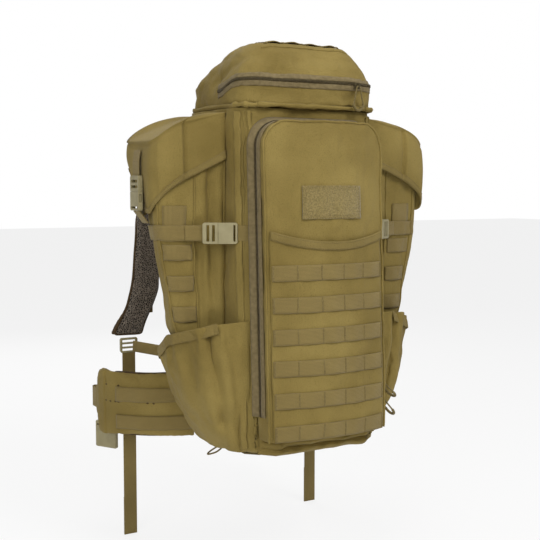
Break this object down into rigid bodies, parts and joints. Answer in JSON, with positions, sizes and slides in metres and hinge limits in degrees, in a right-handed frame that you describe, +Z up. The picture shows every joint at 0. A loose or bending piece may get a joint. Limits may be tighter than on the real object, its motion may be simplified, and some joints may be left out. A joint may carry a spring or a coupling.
{
  "type": "hunting backpack",
  "caption": "Tall top-and-front-opening pack with flapped side wings, wand pockets, padded harness and hip belt, hung from its grab handle.",
  "frame": {"origin": "underside of the grab handle's grip at mid width, where the pack hangs from a hook", "axes": "+Z up along the pack, +X to the right seen from its front, front pocket facing -Y and harness +Y"},
  "size_m": [0.5424, 0.4597, 0.8896],
  "materials": {
    "shell": "matte woven nylon, khaki",
    "pads": "padded fabric with dark mesh lining",
    "mesh_pads": "spacer mesh",
    "webbing": "woven webbing, khaki",
    "zips": "zip tape and coil",
    "loop": "loop fastener",
    "base": "coated nylon",
    "buckles": "moulded acetal, olive",
    "pulls": "cord with moulded grip",
    "sliders": "matte painted zinc",
    "frame_sheet": "polyethylene sheet",
    "stays": "satin"
  },
  "bodies": {
    "root": {"main_bag": "shell", "base_panel": "base", "frame_sheet": "frame_sheet", "frame_stays": "stays", "back_pads": "mesh_pads", "lumbar_pad": "mesh_pads", "harness_yoke": "shell", "grab_handle": "webbing", "lid_base": "shell", "lid_zip_chain": "zips", "left_wing": "shell", "right_wing": "shell", "left_wand_pocket": "shell", "right_wand_pocket": "shell", "left_wing_webbing": "webbing", "right_wing_webbing": "webbing", "left_flap_anchor": "webbing", "right_flap_anchor": "webbing", "left_compression_socket": "buckles", "right_compression_socket": "buckles", "front_zip": "zips"},
    "front_pocket": {"front_pocket": "shell", "front_zip_inner_tape": "zips", "slip_pocket": "shell", "front_ladder_rows": "webbing", "loop_patch": "loop"},
    "lid_cover": {"lid_cover": "shell", "lid_ladder_strips": "webbing"},
    "lid_slider": {"lid_slider": "sliders"},
    "lid_pull": {"lid_pull": "pulls"},
    "front_slider_upper": {"front_slider_upper": "sliders"},
    "front_slider_lower": {"front_slider_lower": "sliders"},
    "front_pull_upper": {"front_pull_upper": "pulls"},
    "front_pull_lower": {"front_pull_lower": "pulls"},
    "left_flap": {"left_flap": "shell", "left_flap_strap": "webbing", "left_flap_socket": "buckles"},
    "left_flap_plug": {"left_flap_plug": "buckles"},
    "left_compression_plug": {"left_compression_plug": "buckles"},
    "left_shoulder": {"left_shoulder_pad": "pads", "left_ladder_lock": "buckles", "left_lower_strap": "webbing", "left_load_lifter": "webbing"},
    "left_tail": {"left_tail": "webbing"},
    "left_sternum_half": {"left_sternum_half": "webbing"},
    "left_belt_wing": {"left_belt_wing": "pads"},
    "left_belt_end": {"left_belt_end": "webbing"},
    "right_flap": {"right_flap": "shell", "right_flap_strap": "webbing", "right_flap_socket": "buckles"},
    "right_flap_plug": {"right_flap_plug": "buckles"},
    "right_compression_plug": {"right_compression_plug": "buckles"},
    "right_shoulder": {"right_shoulder_pad": "pads", "right_ladder_lock": "buckles", "right_lower_strap": "webbing", "right_load_lifter": "webbing"},
    "right_tail": {"right_tail": "webbing"},
    "right_sternum_half": {"right_sternum_half": "webbing"},
    "right_belt_wing": {"right_belt_wing": "pads"},
    "right_belt_end": {"right_belt_end": "webbing"}
  },
  "joints": [
    {"name": "front_pocket_hinge", "type": "hinge", "parent": "root", "child": "front_pocket", "pos_m": [0, -0.22296, -0.573], "axis": [1, 0, 0], "range_deg": [0, 75]},
    {"name": "lid_cover_hinge", "type": "hinge", "parent": "root", "child": "lid_cover", "pos_m": [0, -0.1158, 0.0713], "axis": [-1, 0, 0], "range_deg": [0, 60]},
    {"name": "front_zip_upper", "type": "slide", "parent": "root", "child": "front_slider_upper", "axis": [0, 0.0406, 0.9992], "range_m": [0, 0.34]},
    {"name": "front_zip_lower", "type": "slide", "parent": "root", "child": "front_slider_lower", "axis": [0, 0.0406, 0.9992], "range_m": [-0.012, 0]},
    {"name": "front_pull_upper_swing", "type": "hinge", "parent": "front_slider_upper", "child": "front_pull_upper", "pos_m": [0.1223, -0.23515, -0.49604], "axis": [0, -0.9992, 0.0406], "range_deg": [-5, 100]},
    {"name": "front_pull_lower_swing", "type": "hinge", "parent": "front_slider_lower", "child": "front_pull_lower", "pos_m": [0.1223, -0.23628, -0.52402], "axis": [0, -0.9992, 0.0406], "range_deg": [-34, 6]},
    {"name": "lid_zip", "type": "slide", "parent": "root", "child": "lid_slider", "axis": [-1, 0, 0], "range_m": [0, 0.16]},
    {"name": "lid_pull_swing", "type": "hinge", "parent": "lid_slider", "child": "lid_pull", "pos_m": [0.085, -0.2158, 0.0033], "axis": [-1, 0, 0], "range_deg": [0, 80]},
    {"name": "left_flap_hinge", "type": "hinge", "parent": "root", "child": "left_flap", "pos_m": [-0.1373, -0.1238, -0.046], "axis": [0, 1, 0], "range_deg": [0, 40], "deforming": ["left_flap_anchor"]},
    {"name": "left_flap_release", "type": "slide", "parent": "left_flap", "child": "left_flap_plug", "axis": [0, 0, 1], "range_m": [0, 0.021]},
    {"name": "left_compression_release", "type": "slide", "parent": "root", "child": "left_compression_plug", "axis": [-0.8524, 0.523, 0], "range_m": [0, 0.021]},
    {"name": "left_shoulder_hinge", "type": "hinge", "parent": "root", "child": "left_shoulder", "pos_m": [0, 0.0005, -0.101], "axis": [1, 0, 0], "range_deg": [0, 25], "deforming": ["left_lower_strap", "left_load_lifter"]},
    {"name": "left_tail_swing", "type": "hinge", "parent": "left_shoulder", "child": "left_tail", "pos_m": [-0.199, 0.1145, -0.4716], "axis": [1, 0, 0], "range_deg": [-2, 20]},
    {"name": "left_sternum_slide", "type": "slide", "parent": "left_shoulder", "child": "left_sternum_half", "axis": [0, 0, 1], "range_m": [-0.03, 0.03]},
    {"name": "left_belt_hinge", "type": "hinge", "parent": "root", "child": "left_belt_wing", "pos_m": [-0.112, 0.0055, -0.601], "axis": [0, 0, -1], "range_deg": [-25, 3]},
    {"name": "left_belt_end_swing", "type": "hinge", "parent": "left_belt_wing", "child": "left_belt_end", "pos_m": [-0.232, 0.1465, -0.575], "axis": [0.5, -0.866, 0], "range_deg": [-12, 25]},
    {"name": "right_flap_hinge", "type": "hinge", "parent": "root", "child": "right_flap", "pos_m": [0.1373, -0.1238, -0.046], "axis": [0, -1, 0], "range_deg": [0, 40], "deforming": ["right_flap_anchor"]},
    {"name": "right_flap_release", "type": "slide", "parent": "right_flap", "child": "right_flap_plug", "axis": [0, 0, 1], "range_m": [0, 0.021]},
    {"name": "right_compression_release", "type": "slide", "parent": "root", "child": "right_compression_plug", "axis": [0.8524, 0.523, 0], "range_m": [0, 0.021]},
    {"name": "right_shoulder_hinge", "type": "hinge", "parent": "root", "child": "right_shoulder", "pos_m": [0, 0.0005, -0.101], "axis": [1, 0, 0], "range_deg": [0, 25], "deforming": ["right_lower_strap", "right_load_lifter"]},
    {"name": "right_tail_swing", "type": "hinge", "parent": "right_shoulder", "child": "right_tail", "pos_m": [0.199, 0.1145, -0.4716], "axis": [1, 0, 0], "range_deg": [-2, 20]},
    {"name": "right_sternum_slide", "type": "slide", "parent": "right_shoulder", "child": "right_sternum_half", "axis": [0, 0, 1], "range_m": [-0.03, 0.03]},
    {"name": "right_belt_hinge", "type": "hinge", "parent": "root", "child": "right_belt_wing", "pos_m": [0.112, 0.0055, -0.601], "axis": [0, 0, 1], "range_deg": [-25, 3]},
    {"name": "right_belt_end_swing", "type": "hinge", "parent": "right_belt_wing", "child": "right_belt_end", "pos_m": [0.232, 0.1465, -0.575], "axis": [0.5, 0.866, 0], "range_deg": [-12, 25]}
  ]
}
